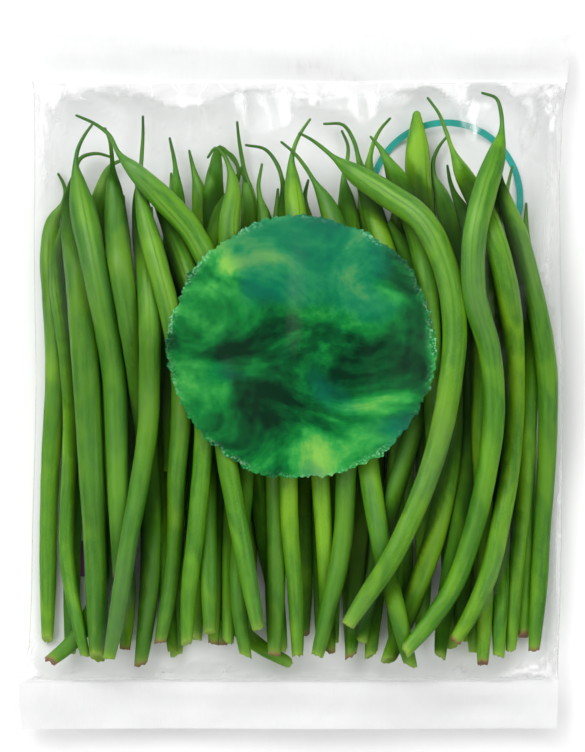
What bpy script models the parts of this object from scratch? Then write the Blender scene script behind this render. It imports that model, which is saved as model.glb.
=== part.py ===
"""A bundle of green beans lying in a sealed bag of clear film.

Run with blender --background --python part.py, or from Blender's text editor.
Lengths are in metres. +X runs across the bag, +Y from its foot seal to its head seal and +Z up
from the table that the bag lies on. The origin is on the table, under the middle of the bag.
"""

import math
from collections import namedtuple

import bpy
import numpy as np

MM = 0.001

# The film. WALL is thicker than the real 0.04 mm, so that the bag is a solid.
WALL = 0.45 * MM
CLEAR = 0.35 * MM  # space kept between two beans, and between a bean and the film
SEAL_DEPTH = 13.5 * MM
HEAD_SEAL_Z = 6.0 * MM  # height of the head seal's middle above the table
FOOT_SEAL_Z = 6.5 * MM
SEAL_WAVE = 0.9 * MM  # how far the seals rise and fall along their length
SEAL_WAVELENGTH = 92 * MM
SEAL_PHASE = 0.8
FOLD_Z = 4.3 * MM  # height of the side folds
FOLD_ROUND = 4.6 * MM  # how far in from a fold the back film reaches the table
FOOT_RAMP = 5.2 * MM  # how far in from a seal the back film reaches the table
HEAD_RAMP = 22.0 * MM
COLUMNS_BY_FOLD = [0, 0.35, 1.2, 2.6, 4.6, 7.5, 12]  # distances in from a fold, in mm
MIDDLE_COLUMNS = 15
ROWS_BY_SEAL = [0, 0.5, 7.0, 13.5, 15.0, 17.2, 20.0]  # distances in from a bag end, in mm
MIDDLE_ROWS = 20
FILM_ROUNDS = 260
VENT_RADIUS = 2.4 * MM
VENT_CELLS = [(9, 8), (9, 17)]  # row and column of the back film's cells with a punched vent

# The bag's left and right folds from head to foot, as x and y in mm.
LEFT_FOLD = [(-73.5, 97.5), (-73.5, 85), (-73, 81), (-73, 65), (-73.2, 42), (-73, 23), (-72.6, 0),
             (-73, -19), (-73.6, -39), (-74, -61), (-74.6, -74), (-75.8, -80), (-77.5, -84), (-76.5, -97.5)]
RIGHT_FOLD = [(77.5, 97.5), (76.8, 84.5), (75.6, 76), (74.8, 56), (75, 34), (75.4, 14), (75.6, -11),
              (75.4, -39), (75, -61), (74.4, -75), (74.2, -82), (74.4, -87), (73.8, -97.5)]

BAG_FOOT = LEFT_FOLD[-1][1] * MM
BAG_HEAD = LEFT_FOLD[0][1] * MM

# A bean's form, as shares of its radius or as lengths along it.
FOOT_SHARE = 0.82  # the cut stalk end
FOOT_TAPER = 16 * MM
TIP_TAPER = 12 * MM
TIP_REACH = 5 * MM  # how far the pod's taper runs on into its tail, at most half of the tail
SWELL = 0.22  # a pod is thinner by this share at its stalk than at its tip
SWELL_END = 0.8  # the share of its length where it is thickest
FLATNESS = 0.8  # a pod lies on its flat side, and is this share as high as it is wide
BLUNT_SHARE = 0.32  # a tip that has lost its tail
TAIL_ROOT = 0.7 * MM
TAIL_END = 0.35 * MM

# How a bean settles on those below it.
SAMPLE = 2.0 * MM
SAG = 0.03 * MM
SETTLE_ROUNDS = 260
LIFT_ROUNDS = 120

# Where a pod's rings are, as shares of its length, and how many its tail has.
BODY_RINGS = [0, 0.06, 0.14, 0.25, 0.36, 0.47, 0.58, 0.69, 0.79, 0.88, 0.95, 1]
HIDDEN_RINGS = [0, 0.1, 0.3, 0.5, 0.7, 0.85, 1]
TAIL_RINGS = 3
TRACED_SIDES = 2  # a curve's bevel_resolution: 2 gives 8 sides
HIDDEN_SIDES = 1  # 6 sides

Bean = namedtuple("Bean", "name width body tail")

# The beans that show, lowest first. Width in mm, then x and y in mm from the cut stalk end to the
# tip of the pod, and on along its thin tail.
INNER_BEANS = [
    (6.5, [(-68.5, -78.5), (-60.5, -71.5), (-55, -61), (-51, -44.5), (-47.5, -22), (-47.5, 20)],
     [(-48.5, 30), (-49.5, 37)]),
    (5.9, [(-1.5, -79), (-9.5, -74.5), (-16.5, -68.5), (-23, -58.5), (-27, -30), (-26.5, 17), (-27, 55)],
     [(-28.5, 60.5), (-29.5, 65)]),
    (5.5, [(-22.5, -73), (-22, -40), (-20.5, 3), (-19.5, 28.5), (-18.5, 49.5)],
     [(-15.5, 58), (-18, 64.5), (-21.5, 66)]),
    (5.9, [(-18.5, -72.5), (-17, -33), (-15, -5), (-12.5, 25.5), (-13, 54)],
     [(-14.5, 62), (-15.5, 68), (-16, 73)]),
    (6.2, [(-3.5, -75), (-5, -61), (-9, -39), (-10.5, -16.5), (-8, 37), (-8.5, 47.5)],
     [(-10, 54), (-9, 61)]),
    (5.9, [(10, -75), (9, -53), (5.5, 3), (3.5, 46.5)], [(3, 52), (4, 56.5)]),
    (5.9, [(16, -77), (17, -61), (20.5, -16.5), (21.5, 30), (21, 59)],
     [(22, 66), (24, 70.5), (27, 74)]),
    (5.9, [(21.5, -77), (23, -60), (27.5, -33), (30, -11), (29.5, 14.5), (25, 38), (19, 58)],
     [(17, 67), (14.5, 72), (8.5, 72.5)]),
    (6.2, [(41, -77), (43, -58.5), (47, -36), (50, -11), (49.5, 11.5), (46, 34), (41, 54)],
     [(39, 60.5), (40.5, 65.5), (43.5, 69.5)]),
    (7.4, [(26.5, -78), (34, -59), (40.5, -39), (43.5, -16.5), (43, 9), (39, 31), (35.5, 49.5), (34.5, 75)],
     []),
    (5.9, [(19, -72.5), (23, -51.5), (29, -28), (35.5, -5), (37.5, 14.5), (33.5, 32), (27, 44)], []),
    (5.5, [(61, -75), (62.5, -53), (65, -22), (66, 6), (64.5, 31), (61.5, 46)], [(60, 52), (61.5, 60.5)]),
    (5.9, [(57.5, -77), (58, -40), (57.5, -5), (56, 20), (51, 38), (46.5, 49.5)], [(44, 55), (43, 60.5)]),
    (5.9, [(53, -79), (53.5, -50), (52, -5), (53, 23), (56, 49.5)], [(57.5, 58), (57, 62.5)]),
    (6.6, [(32.5, -79), (28.5, -63.5), (23.5, -41.5), (19.5, -11), (17.5, 17), (14.5, 53)],
     [(14, 58.5), (15.5, 65), (13.5, 70.5)]),
    (6.6, [(-5.5, -76.5), (-5, -45), (-5, -2.5), (-4, 25.5), (-2.5, 51)],
     [(-4.5, 60.5), (-7.5, 65), (-13.5, 66.5)]),
    (5.5, [(-34, -75.5), (-37, -40), (-36, 3), (-33, 38), (-33, 55)], [(-33.5, 61), (-35, 68.5)]),
    (5.6, [(-47.5, -75), (-46.5, -61), (-50, -33), (-54, -5), (-55.5, 25.5), (-53.5, 56)],
     [(-51.5, 61), (-47.5, 62.5)]),
    (6.2, [(-23.5, -70), (-24, -30), (-23.5, 5), (-22, 35), (-21.8, 61)],
     [(-20.5, 66), (-16.5, 61.5), (-13.5, 56.5)]),
    (6.0, [(-35, -25), (-33.5, 0), (-29, 20), (-23, 37), (-17, 54)], [(-15.6, 57.5), (-14.5, 60)]),
    (6.4, [(38.5, -20), (38, 8), (36.5, 30), (31.5, 50), (26, 62)], [(24, 65.5), (21.5, 68.5)]),
]
OUTER_BEANS = [
    (5.9, [(-69.5, -72.5), (-69.3, -58.5), (-69, -39), (-68, -13.5), (-67, 6), (-68, 23), (-68.6, 37),
           (-67.5, 46.5)],
     [(-64.5, 52), (-64.5, 54.5), (-66.5, 58.5)]),
    (5.0, [(-58.5, -76.5), (-62, -61), (-64, -46), (-63, -25), (-62.5, -5), (-64, 11.5), (-66, 25.5),
           (-66.5, 37)],
     [(-65, 44.5), (-63.5, 51.5), (-62.5, 56)]),
    (8.0, [(-55, -77), (-55, -61), (-55.5, -44.5), (-56.5, -25), (-57.5, -5), (-58.5, 11.5), (-60, 31),
           (-62, 53.5)],
     [(-61.5, 59), (-59, 64), (-51, 63)]),
    (7.4, [(-48.5, -54), (-48.5, -39), (-49.5, -19), (-50, -1), (-52, 14.5), (-55, 30), (-58, 44),
           (-60.5, 56.5)],
     [(-61, 63), (-59.5, 67.5), (-56.5, 72)]),
    (6.7, [(-43, -79), (-41, -62.5), (-40, -44.5), (-40.5, -25), (-42.5, -5), (-45, 13), (-48, 31),
           (-50.5, 55.5)],
     [(-51, 62), (-51.5, 67), (-53, 71)]),
    (6.2, [(-51.5, -77), (-48.5, -61), (-45, -39), (-41, -16.5), (-40, 3), (-40, 23), (-42, 41), (-43, 53.5)],
     [(-43, 60.5), (-42.5, 67.5), (-42.5, 74.5)]),
    (5.9, [(-37.5, -73), (-35.5, -62.5), (-33.5, -47), (-33, -30.5), (-31.5, -11), (-32, 9),
           (-35.5, 24), (-42.5, 50)],
     [(-43.5, 54.5), (-44, 58.5)]),
    (5.9, [(-30, -73), (-29.5, -61), (-27.5, -44.5), (-26, -27.5), (-25, -11), (-26, 9), (-29, 26.5),
           (-36.5, 46)],
     [(-38.5, 49.5), (-39.5, 53)]),
    (5.9, [(1, -76.5), (0.5, -61), (-1, -44.5), (-1.5, -25), (-1, 0.5), (0.5, 46.5), (-0.5, 58)],
     [(-0.5, 63.5), (1.5, 69), (4.5, 73.5)]),
    (6.5, [(6.5, -76.5), (9, -67), (12, -54), (14, -40), (14.5, -25), (15, 3), (14.5, 27), (8, 52)],
     [(5, 57), (1, 63), (-3.5, 67)]),
    (5.9, [(-13.5, -76.5), (-15.5, -61), (-15, -44.5), (-13.5, -19), (-15, 6), (-17.5, 28.5), (-18, 44),
           (-17, 55.5)],
     [(-19, 62), (-21.5, 65.5), (-24, 62.5)]),
    (6.5, [(-10, -68.5), (-12.5, -55.5), (-15.5, -39), (-19, -19), (-20, 3), (-21.5, 24), (-24.5, 35.5),
           (-29, 42.5), (-34.5, 49), (-40.5, 54.5), (-45.5, 60)],
     [(-49.5, 64.5), (-52, 69.5), (-56, 72), (-60.5, 74)]),
    (6.5, [(45, -72.5), (50, -64), (55, -51.5), (58.5, -34.5), (61, -18), (61.5, -1), (60.5, 17), (57, 34),
           (52, 48.5), (46, 60.5)],
     [(43.5, 67), (41, 74.5), (37.5, 79.5)]),
    (5.9, [(67.5, -75.5), (68.5, -61), (69.5, -44.5), (70.8, -25), (71, -5), (70, 10), (67, 23), (63.5, 37),
           (58.5, 52)],
     [(57.5, 57), (57, 62)]),
    (7.1, [(15, -67.5), (20.5, -59), (27.5, -48), (33, -36.5), (38, -23.5), (41.5, -9.5), (44, 6), (44, 21.5),
           (41, 34), (36.5, 43.5), (30, 49.5), (22, 54.5), (14.5, 60)],
     [(9.5, 64), (6, 67), (1.5, 69.5)]),
    (6.7, [(31, -75), (37.5, -67.5), (43.5, -59), (48, -47.5), (52, -33), (54.5, -16.5), (55.5, -2.5),
           (53, 13), (50, 23), (49.5, 35.5), (51, 48.5), (54.5, 57), (57, 66)],
     [(58, 71.5), (57.5, 76), (56, 79.5), (52.5, 80.5)]),
]

# The beans underneath, which only show as dark depth: rows that a seeded rule lays out.
HIDDEN_ROWS = [(19, -62 * MM, 65 * MM), (3, 10 * MM, 48 * MM)]  # how many, and from x to x
HIDDEN_WIDTH = (5.8, 6.6)
HIDDEN_FOOT_Y = (-77, -69)
HIDDEN_TIP_Y = (36, 50)
HIDDEN_LEAN = 1.6
HIDDEN_BOW = 1.2
HIDDEN_TAIL = 9.0
SEED = 3

BEAN_GREENS = [(0.10, 0.27, 0.03), (0.14, 0.34, 0.04), (0.07, 0.21, 0.03), (0.19, 0.40, 0.05)]


def smoothstep(t):
    """0 below 0, 1 above 1, and an even S between them."""
    t = np.clip(t, 0, 1)
    return t * t * (3 - 2 * t)


def curve_through(knots, step):
    """Evenly spaced points along one smooth curve through the knots, and how far along it each knot is."""
    knots = np.array(knots, float)
    chord = np.linalg.norm(np.diff(knots, axis=0), axis=1)
    at = np.concatenate([[0.0], np.cumsum(chord)])
    slope = np.gradient(knots, at, axis=0)
    fine = np.linspace(0, at[-1], 600)
    i = np.clip(np.searchsorted(at, fine, side="right") - 1, 0, len(at) - 2)
    span = (at[i + 1] - at[i])[:, None]
    t = (fine - at[i])[:, None] / span
    curve = (
        (2 * t**3 - 3 * t**2 + 1) * knots[i]
        + (t**3 - 2 * t**2 + t) * span * slope[i]
        + (3 * t**2 - 2 * t**3) * knots[i + 1]
        + (t**3 - t**2) * span * slope[i + 1]
    )
    run = np.concatenate([[0.0], np.cumsum(np.linalg.norm(np.diff(curve, axis=0), axis=1))])
    even = np.linspace(0, run[-1], max(2, round(run[-1] / step) + 1))
    points = np.column_stack([np.interp(even, run, column) for column in curve.T])
    return points, even, np.interp(at, fine, run)


def radius_along(run, body_end, radius, has_tail):
    """The pod's radius at each distance from its cut end, and on along its tail."""
    foot = FOOT_SHARE + (1 - FOOT_SHARE) * smoothstep(run / FOOT_TAPER)
    foot *= 1 - SWELL * (1 - smoothstep(run / body_end / SWELL_END))
    tip_radius = TAIL_ROOT if has_tail else BLUNT_SHARE * radius
    tip = smoothstep((body_end - run) / TIP_TAPER)
    pod = np.maximum(tip_radius, foot * (tip_radius + (radius - tip_radius) * tip))
    tail_share = np.clip((run - body_end) / max(run[-1] - body_end, MM), 0, 1)
    tail = TAIL_ROOT + (TAIL_END - TAIL_ROOT) * tail_share
    return np.where(run > body_end, tail, pod)


def fold_x(fold, y):
    """Where a side fold is at each y."""
    rows = np.array(sorted((py, px) for px, py in fold)) * MM
    return np.interp(y, rows[:, 0], rows[:, 1])


def film_rows():
    """The y of each row of the film's vertices, close together by the seals."""
    by_seal = np.array(ROWS_BY_SEAL) * MM
    middle = np.linspace(BAG_FOOT + by_seal[-1], BAG_HEAD - by_seal[-1], MIDDLE_ROWS + 1)
    return np.concatenate([BAG_FOOT + by_seal[:-1], middle, (BAG_HEAD - by_seal[:-1])[::-1]])


def ramp(y, seal_y, reach):
    """1 at a seal's inner edge and beyond it, 0 farther in than reach, and straight between two rows."""
    rows = film_rows()
    inward = np.abs(rows - (BAG_FOOT + BAG_HEAD) / 2) - abs(seal_y - (BAG_FOOT + BAG_HEAD) / 2)
    share = smoothstep(1 + inward / reach) * (rows * seal_y > 0)
    return np.interp(y, rows, share)


def edge_heights(x, y):
    """The height of the seals and folds, where the front and the back film meet."""
    wave = SEAL_WAVE * np.sin(2 * math.pi * x / SEAL_WAVELENGTH + SEAL_PHASE)
    by_head = ramp(y, BAG_HEAD - SEAL_DEPTH, HEAD_RAMP)
    by_foot = ramp(y, BAG_FOOT + SEAL_DEPTH, 2 * FOOT_RAMP)
    fold = FOLD_Z + (HEAD_SEAL_Z + wave - FOLD_Z) * by_head
    return fold + (FOOT_SEAL_Z + wave - fold) * by_foot


def back_film(x, y):
    """The height of the back film's underside: on the table, but for the folds and the two ends."""
    inward = np.minimum(x - fold_x(LEFT_FOLD, y), fold_x(RIGHT_FOLD, y) - x)
    by_fold = 1 - np.sqrt(1 - np.clip(1 - inward / FOLD_ROUND, 0, 1) ** 2)
    by_head = ramp(y, BAG_HEAD - SEAL_DEPTH, HEAD_RAMP)
    by_foot = ramp(y, BAG_FOOT + SEAL_DEPTH, FOOT_RAMP)
    return edge_heights(x, y) * np.maximum(np.maximum(by_fold, by_head), by_foot)


def settle(path, radii, laid):
    """The height of each point of a bean that is let down on the film below and the beans in laid.

    Heights here are stretched, so that the oval pods are round: FLATNESS brings them back.
    """
    lowest = (back_film(path[:, 0], path[:, 1]) + WALL + CLEAR) / FLATNESS + radii
    for x, y, z, r in laid:
        reach = radii + r + CLEAR
        off = reach**2 - (path[:, 0] - x) ** 2 - (path[:, 1] - y) ** 2
        lowest = np.where(off > 0, np.maximum(lowest, z + np.sqrt(np.maximum(off, 0))), lowest)
    height = lowest.copy()
    for _ in range(SETTLE_ROUNDS):
        beyond = np.concatenate([height[:1], height, height[-1:]])
        height = np.maximum(lowest, (beyond[:-2] + beyond[2:]) / 2 - SAG)
    return height, lowest


def lift_rings(rings, run, height, lowest):
    """Heights at the rings, raised until the straight lines between them clear all that is below."""
    level = np.interp(rings, run, height)
    i = np.clip(np.searchsorted(rings, run, side="right") - 1, 0, len(rings) - 2)
    share = (run - rings[i]) / (rings[i + 1] - rings[i])
    for _ in range(LIFT_ROUNDS):
        short = lowest - (level[i] * (1 - share) + level[i + 1] * share)
        for k in np.flatnonzero(short > 0):
            lack = lowest[k] - level[i[k]] * (1 - share[k]) - level[i[k] + 1] * share[k]
            if lack > 0:
                weight = (1 - share[k]) ** 2 + share[k] ** 2
                level[i[k]] += lack * (1 - share[k]) / weight
                level[i[k] + 1] += lack * share[k] / weight
    return level


def hidden_beans():
    """The rows underneath: evenly spaced, each bean leaning and bowed a little its own way."""
    draw = np.random.default_rng(SEED)
    beans = []
    for count, first, last in HIDDEN_ROWS:
        for x in np.linspace(first, last, count) / MM:
            foot_y = draw.uniform(*HIDDEN_FOOT_Y)
            tip_y = draw.uniform(*HIDDEN_TIP_Y)
            lean = draw.uniform(-HIDDEN_LEAN, HIDDEN_LEAN)
            bow = draw.uniform(-HIDDEN_BOW, HIDDEN_BOW)
            width = draw.uniform(*HIDDEN_WIDTH)
            body = [(x - lean, foot_y), (x + bow, (foot_y + tip_y) / 2), (x + lean, tip_y)]
            tail = [(x + lean + bow / 2, tip_y + HIDDEN_TAIL)]
            beans.append(Bean(f"bean_{len(beans) + 1:02d}_under", width, body, tail))
    return beans


def all_beans():
    """Every bean, in the order in which they are laid in the bag."""
    beans = hidden_beans()
    for place, rows in (("inner", INNER_BEANS), ("outer", OUTER_BEANS)):
        for width, body, tail in rows:
            beans.append(Bean(f"bean_{len(beans) + 1:02d}_{place}", width, body, tail))
    return beans


def lay_beans(beans):
    """Lets the beans down one by one. Gives each one's ring centres and radii, and points along all.

    Heights are stretched, as in settle.
    """
    laid, placed = [], []
    for bean in beans:
        knots = [(x * MM, y * MM) for x, y in bean.body + bean.tail]
        curve, run, knot_run = curve_through(knots, SAMPLE)
        body_end = knot_run[len(bean.body) - 1]
        body_end += min(TIP_REACH, (run[-1] - body_end) / 2)
        shares = HIDDEN_RINGS if bean.name.endswith("under") else BODY_RINGS
        rings = body_end * np.array(shares)
        if bean.tail:
            rings = np.concatenate([rings, np.linspace(body_end, run[-1], TAIL_RINGS + 1)[1:]])
        ring_radii = radius_along(rings, body_end, bean.width / 2 * MM, bool(bean.tail))
        corners = np.column_stack([np.interp(rings, run, axis) for axis in curve.T])
        path = np.column_stack([np.interp(run, rings, axis) for axis in corners.T])
        radii = np.interp(run, rings, ring_radii)
        height, lowest = settle(path, radii, np.array(laid))
        level = lift_rings(rings, run, height, lowest)
        laid += [(*point, z, r) for point, z, r in zip(path, np.interp(run, rings, level), radii)]
        placed.append((np.column_stack([corners, level]), ring_radii))
    return placed, laid


def pod_green(name, color):
    """A satin green for pods."""
    material = bpy.data.materials.new(name)
    material.use_nodes = True
    shader = material.node_tree.nodes["Principled BSDF"]
    shader.inputs["Base Color"].default_value = (*color, 1)
    shader.inputs["Roughness"].default_value = 0.42
    material.diffuse_color = (*color, 1)
    return material


def clear_film():
    """The clear, glossy film."""
    material = bpy.data.materials.new("clear_film")
    material.use_nodes = True
    shader = material.node_tree.nodes["Principled BSDF"]
    shader.inputs["Base Color"].default_value = (0.93, 0.95, 0.95, 1)
    shader.inputs["Roughness"].default_value = 0.12
    shader.inputs["Alpha"].default_value = 0.15
    material.diffuse_color = (0.93, 0.95, 0.95, 0.15)
    return material


def make_bean(bean, line, radii, material):
    """One pod with its tail: a round tube along its centreline, cut flat at the stalk end."""
    data = bpy.data.curves.new(bean.name, "CURVE")
    data.dimensions = "3D"
    data.bevel_depth = 1.0
    data.bevel_resolution = HIDDEN_SIDES if bean.name.endswith("under") else TRACED_SIDES
    data.use_fill_caps = True
    spline = data.splines.new("POLY")
    spline.points.add(len(line) - 1)
    for point, place, radius in zip(spline.points, line, radii):
        point.co = (*place, 1)
        point.radius = radius
    spline.use_smooth = True
    data.materials.append(material)
    obj = bpy.data.objects.new(bean.name, data)
    obj.scale.z = FLATNESS
    bpy.context.scene.collection.objects.link(obj)
    return obj


def film_grid():
    """The film's grid: x and y of each vertex, and how far it is in from the nearest fold."""
    y = film_rows()
    left, right = fold_x(LEFT_FOLD, y), fold_x(RIGHT_FOLD, y)
    by_fold = np.array(COLUMNS_BY_FOLD) * MM
    share = np.linspace(0, 1, MIDDLE_COLUMNS + 1)
    x = np.array([
        np.concatenate([
            a + by_fold[:-1],
            a + by_fold[-1] + share * (b - a - 2 * by_fold[-1]),
            (b - by_fold[:-1])[::-1],
        ])
        for a, b in zip(left, right)
    ])
    inward = np.minimum(x - left[:, None], right[:, None] - x)
    return x, np.repeat(y[:, None], x.shape[1], axis=1), inward


def bean_tops(laid, x, y):
    """The height that the film must clear at each vertex: the highest bean within its cells."""
    pitch = 1.0 * MM
    low = np.array([x.min(), y.min()]) - 4 * pitch
    size = ((np.array([x.max(), y.max()]) - low) / pitch).astype(int) + 5
    field = np.zeros(size)
    cover = WALL + CLEAR
    for px, py, pz, r in laid:
        reach = r + cover
        middle = np.array([px, py])
        first = np.maximum(((middle - reach - low) / pitch).astype(int), 0)
        last = ((middle + reach - low) / pitch).astype(int) + 2
        gx = low[0] + np.arange(first[0], last[0]) * pitch - px
        gy = low[1] + np.arange(first[1], last[1]) * pitch - py
        off = 1 - (gx[:, None] ** 2 + gy[None, :] ** 2) / reach**2
        top = np.where(off > 0, FLATNESS * pz + (FLATNESS * r + cover) * np.sqrt(np.maximum(off, 0)), 0)
        window = field[first[0]:last[0], first[1]:last[1]]
        np.maximum(window, top[: window.shape[0], : window.shape[1]], out=window)
    tops = np.zeros_like(x)
    rows, columns = x.shape
    for i in range(rows):
        for j in range(columns):
            a, b = max(j - 1, 0), min(j + 1, columns - 1)
            c, d = max(i - 1, 0), min(i + 1, rows - 1)
            first = ((np.array([x[i, a], y[c, j]]) - low) / pitch).astype(int)
            last = ((np.array([x[i, b], y[d, j]]) - low) / pitch).astype(int) + 2
            tops[i, j] = field[first[0]:last[0], first[1]:last[1]].max()
    return tops


def film_heights(laid, x, y, inward):
    """Heights of the front and the back film, and which vertices are in a seal."""
    edge = edge_heights(x, y)
    in_seal = (y < BAG_FOOT + SEAL_DEPTH + MM / 10) | (y > BAG_HEAD - SEAL_DEPTH - MM / 10)
    border = in_seal | (inward < MM / 100)
    tops = bean_tops(laid, x, y)
    front = np.where(border, edge, np.maximum(edge, tops))
    for _ in range(FILM_ROUNDS):
        mean = front.copy()
        mean[1:-1, 1:-1] = (front[:-2, 1:-1] + front[2:, 1:-1] + front[1:-1, :-2] + front[1:-1, 2:]) / 4
        front = np.where(border, edge, np.maximum(mean, tops))
    # Across each seal the two films lie one on the other.
    plies = np.where(in_seal & (inward > MM / 100), WALL, 0)
    plies[0], plies[-1] = 0, 0
    return front + plies, back_film(x, y) - plies, in_seal


def normals_of(x, y, z):
    """Upward unit normals of a grid of points."""
    points = np.dstack([x, y, z])
    along_row = np.gradient(points, axis=1)
    along_column = np.gradient(points, axis=0)
    normal = np.cross(along_row, along_column)
    return normal / np.linalg.norm(normal, axis=2, keepdims=True)


class Shell:
    """Collects the vertices and triangles of the bag."""

    def __init__(self):
        self.points, self.faces = [], []

    def add(self, point):
        self.points.append(tuple(map(float, point)))
        return len(self.points) - 1

    def quad(self, a, b, c, d, outward, other_way=False):
        """Two triangles, split alike on both sides of the film."""
        pair = [(a, b, d), (b, c, d)] if other_way else [(a, b, c), (a, c, d)]
        self.faces += pair if outward else [face[::-1] for face in pair]

    def pillow(self, front, back, vents, facing_out):
        """Two grids of points that share their border. Gives each vent's ring of vertices."""
        rows, columns = front.shape[:2]
        upper = np.empty((rows, columns), int)
        lower = np.empty((rows, columns), int)
        for i in range(rows):
            for j in range(columns):
                upper[i, j] = self.add(front[i, j])
                on_border = i in (0, rows - 1) or j in (0, columns - 1)
                lower[i, j] = upper[i, j] if on_border else self.add(back[i, j])
        rings = []
        for i in range(rows - 1):
            for j in range(columns - 1):
                # In two of the corners the usual diagonal would join the border to itself.
                corner = (i, j) in ((0, columns - 2), (rows - 2, 0))
                front_cell, back_cell = (
                    (grid[i, j], grid[i, j + 1], grid[i + 1, j + 1], grid[i + 1, j])
                    for grid in (upper, lower)
                )
                self.quad(*front_cell, facing_out, corner)
                if (i, j) in vents:
                    rings.append(self.vent(back_cell, not facing_out))
                else:
                    self.quad(*back_cell, not facing_out, corner)
        return rings

    def vent(self, corners, outward):
        """A round hole in a cell: eight vertices, with triangles from them to the cell's corners."""
        places = np.array([self.points[c] for c in corners])
        middle = places.mean(axis=0)
        ring = [
            self.add(middle + VENT_RADIUS * np.array([math.cos(a), math.sin(a), 0]))
            for a in (math.radians(-135 + 45 * k) for k in range(8))
        ]
        for k in range(4):
            here, beyond = corners[k], corners[(k + 1) % 4]
            first, second, third = ring[2 * k], ring[2 * k + 1], ring[(2 * k + 2) % 8]
            fan = [(here, second, first), (here, beyond, second), (beyond, third, second)]
            self.faces += fan if outward else [face[::-1] for face in fan]
        return ring


def make_bag(laid, material):
    """The bag: one film, closed at both ends, with punched vents in its back."""
    x, y, inward = film_grid()
    front, back, in_seal = film_heights(laid, x, y, inward)
    outer_front = np.dstack([x, y, front])
    outer_back = np.dstack([x, y, back])
    body = np.flatnonzero(~in_seal[:, 0])
    rows = slice(body[0] - 1, body[-1] + 2)
    up, down = normals_of(x, y, front), -normals_of(x, y, back)
    inner_front = (outer_front - WALL * up)[rows]
    inner_back = (outer_back - WALL * down)[rows]
    # The cavity comes to an edge at the folds and seals, where the two plies meet.
    shift = np.zeros(x.shape)
    shift[:, 0], shift[:, -1] = WALL, -WALL
    edge = np.dstack([x + shift, y, edge_heights(x, y)])[rows]
    for film in (inner_front, inner_back):
        film[0], film[-1] = edge[0], edge[-1]
        film[:, 0], film[:, -1] = edge[:, 0], edge[:, -1]
    shell = Shell()
    first = body[0] - 1
    outer_rings = shell.pillow(outer_front, outer_back, VENT_CELLS, True)
    inner_rings = shell.pillow(inner_front, inner_back, [(i - first, j) for i, j in VENT_CELLS], False)
    for outer, inner in zip(outer_rings, inner_rings):
        for k in range(8):
            n = (k + 1) % 8
            shell.quad(outer[k], outer[n], inner[n], inner[k], False)
    mesh = bpy.data.meshes.new("film_bag")
    mesh.from_pydata(shell.points, [], shell.faces)
    mesh.materials.append(material)
    mesh.shade_smooth()
    obj = bpy.data.objects.new("film_bag", mesh)
    bpy.context.scene.collection.objects.link(obj)
    return obj


def main():
    for obj in list(bpy.data.objects):
        bpy.data.objects.remove(obj)
    greens = [pod_green(f"bean_green_{k + 1}", color) for k, color in enumerate(BEAN_GREENS)]
    beans = all_beans()
    placed, laid = lay_beans(beans)
    for k, (bean, (line, radii)) in enumerate(zip(beans, placed)):
        make_bean(bean, line, radii, greens[k % len(greens)])
    make_bag(laid, clear_film())


main()
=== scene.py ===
import math

import bpy
import numpy as np
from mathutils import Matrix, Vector, noise


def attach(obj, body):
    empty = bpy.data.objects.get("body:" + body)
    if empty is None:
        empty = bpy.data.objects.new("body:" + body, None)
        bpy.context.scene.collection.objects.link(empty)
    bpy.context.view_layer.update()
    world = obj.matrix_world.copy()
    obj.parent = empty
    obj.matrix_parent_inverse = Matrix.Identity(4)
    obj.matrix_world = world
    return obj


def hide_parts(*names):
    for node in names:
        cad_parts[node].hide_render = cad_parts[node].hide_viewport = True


MM = 0.001

# The object's frame, in metres: +X across the bag, +Y from its foot seal to its head seal, +Z up.
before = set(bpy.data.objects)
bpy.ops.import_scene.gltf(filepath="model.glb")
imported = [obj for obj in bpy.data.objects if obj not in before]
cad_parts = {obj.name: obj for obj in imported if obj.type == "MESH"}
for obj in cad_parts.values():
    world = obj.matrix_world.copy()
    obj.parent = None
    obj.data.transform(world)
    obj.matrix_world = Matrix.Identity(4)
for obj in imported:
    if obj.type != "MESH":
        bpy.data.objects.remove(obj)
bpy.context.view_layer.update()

# The bag, as in the frame. The two folds are listed in millimetres.
LEFT_FOLD = [(-73.5, 97.5), (-73.5, 85), (-73, 81), (-73, 65), (-73.2, 42), (-73, 23), (-72.6, 0),
             (-73, -19), (-73.6, -39), (-74, -61), (-74.6, -74), (-75.8, -80), (-77.5, -84), (-76.5, -97.5)]
RIGHT_FOLD = [(77.5, 97.5), (76.8, 84.5), (75.6, 76), (74.8, 56), (75, 34), (75.4, 14), (75.6, -11),
              (75.4, -39), (75, -61), (74.4, -75), (74.2, -82), (74.4, -87), (73.8, -97.5)]
BAG_FOOT, BAG_HEAD = -97.5 * MM, 97.5 * MM
SEAL_DEPTH = 13.5 * MM
HEAD_SEAL_Z, FOOT_SEAL_Z = 6.0 * MM, 6.5 * MM
SEAL_WAVE, SEAL_WAVELENGTH, SEAL_PHASE = 0.9 * MM, 92 * MM, 0.8
FOLD_Z, FOLD_ROUND = 4.3 * MM, 4.6 * MM
FOOT_RAMP, HEAD_RAMP = 5.2 * MM, 22 * MM
VENTS = [(-41.0 * MM, -50.4 * MM), (34.0 * MM, -50.4 * MM)]
VENT_RADIUS = 2.4 * MM

# The pods.
FLATNESS = 0.8  # a pod is this share as high as it is wide
POD_STEP, HIDDEN_STEP = 1.1 * MM, 2.2 * MM  # from ring to ring
POD_SIDES, HIDDEN_SIDES = 24, 14
SEED_BUMP, SEED_REACH = 0.17 * MM, 3.4 * MM
SEAM_REACH = 0.52  # how far round a pod its seam's border reaches, in radians
SEAM_START = 0.55  # the seam shows from this share of the pod's body on
STEEPEST_CUT = 0.80
CUT_CHIPS = 0.24 * MM
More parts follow.
